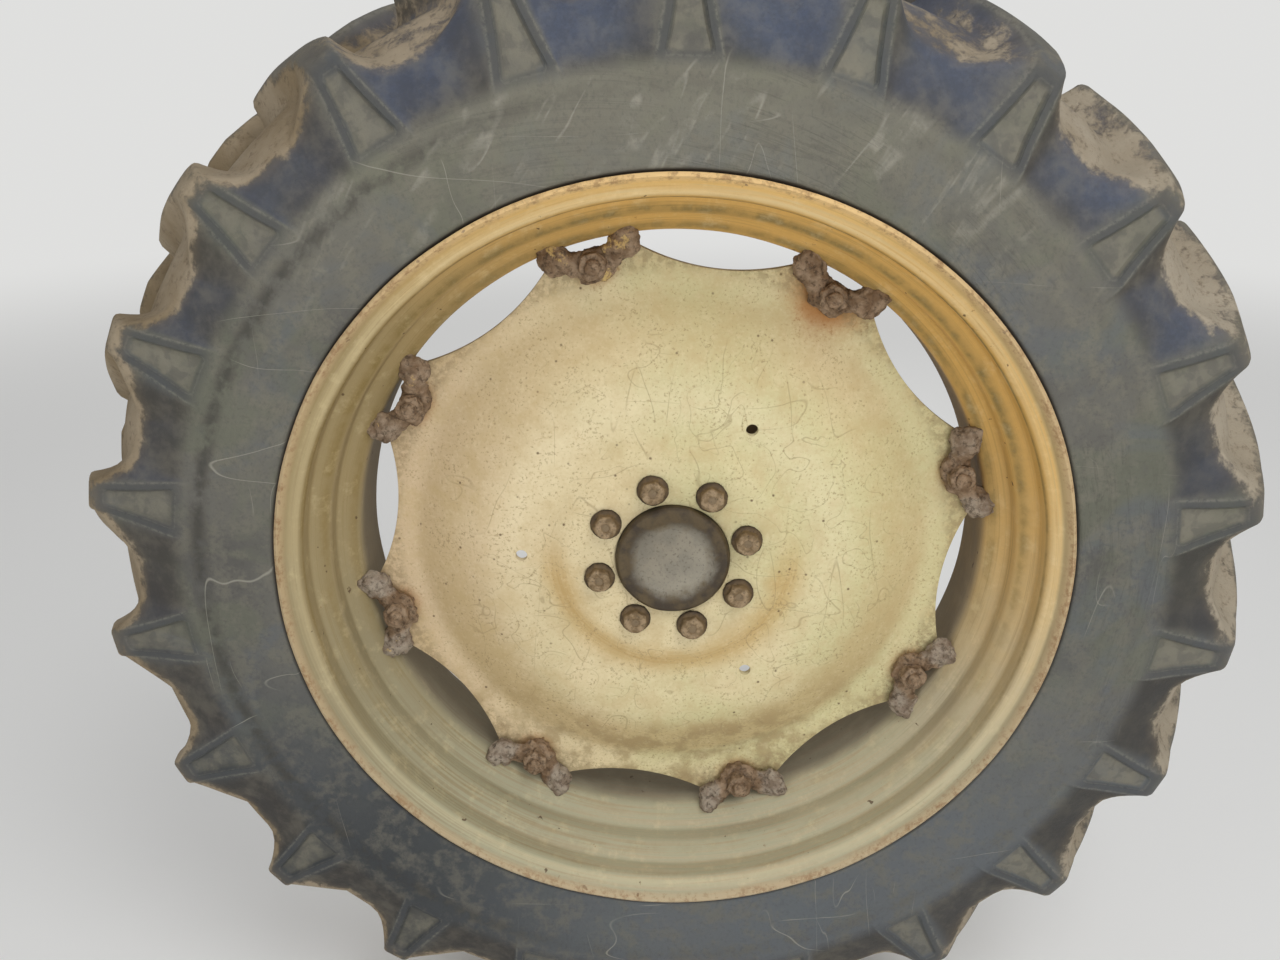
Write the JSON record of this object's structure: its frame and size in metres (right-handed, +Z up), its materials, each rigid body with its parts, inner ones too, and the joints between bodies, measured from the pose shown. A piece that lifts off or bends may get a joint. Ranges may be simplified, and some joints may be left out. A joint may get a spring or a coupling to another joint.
{
  "type": "farm tractor rear wheel with axle end",
  "caption": "Large rear wheel with a barred farm tyre, a stepped rim, a dished disc clamped to lugs, and the flanged axle end that carries it.",
  "frame": {"origin": "centre of the axle housing's inboard flange face, on the wheel's axis", "axes": "+Z up, +Y along the axle towards the machine, +X to the right seen from outboard; the wheel spins about Y"},
  "size_m": [1.5526, 0.5501, 1.5526],
  "materials": {
    "tyre": "aged rubber with dried earth between the bars",
    "rim_paint": "faded cream-yellow paint, satin, scratched and dusty",
    "disc_paint": "faded cream paint, matt, with rust specks",
    "lug_paint": "worn paint over rust",
    "rusty_steel": "rusted steel",
    "nut_steel": "dark rusted steel",
    "axle_steel": "dark oiled steel with dust",
    "housing_iron": "painted cast iron, dusty",
    "valve_rubber": "black rubber"
  },
  "bodies": {
    "housing": {"axle_housing": "housing_iron"},
    "wheel": {"tyre": "tyre", "rim": "rim_paint", "wheel_disc": "disc_paint", "axle_shaft": "axle_steel", "valve_stem": "valve_rubber", "clamp_bolts": "rusty_steel", "clamp_nuts": "rusty_steel", "wheel_nuts": "nut_steel", "rim_lug_1": "lug_paint", "rim_lug_2": "lug_paint", "rim_lug_3": "lug_paint", "rim_lug_4": "lug_paint", "rim_lug_5": "lug_paint", "rim_lug_6": "lug_paint", "rim_lug_7": "lug_paint", "rim_lug_8": "lug_paint"}
  },
  "joints": [
    {"name": "wheel_spin", "type": "hinge", "parent": "housing", "child": "wheel", "pos_m": [0, 0, 0], "axis": [0, 1, 0], "continuous": true}
  ]
}
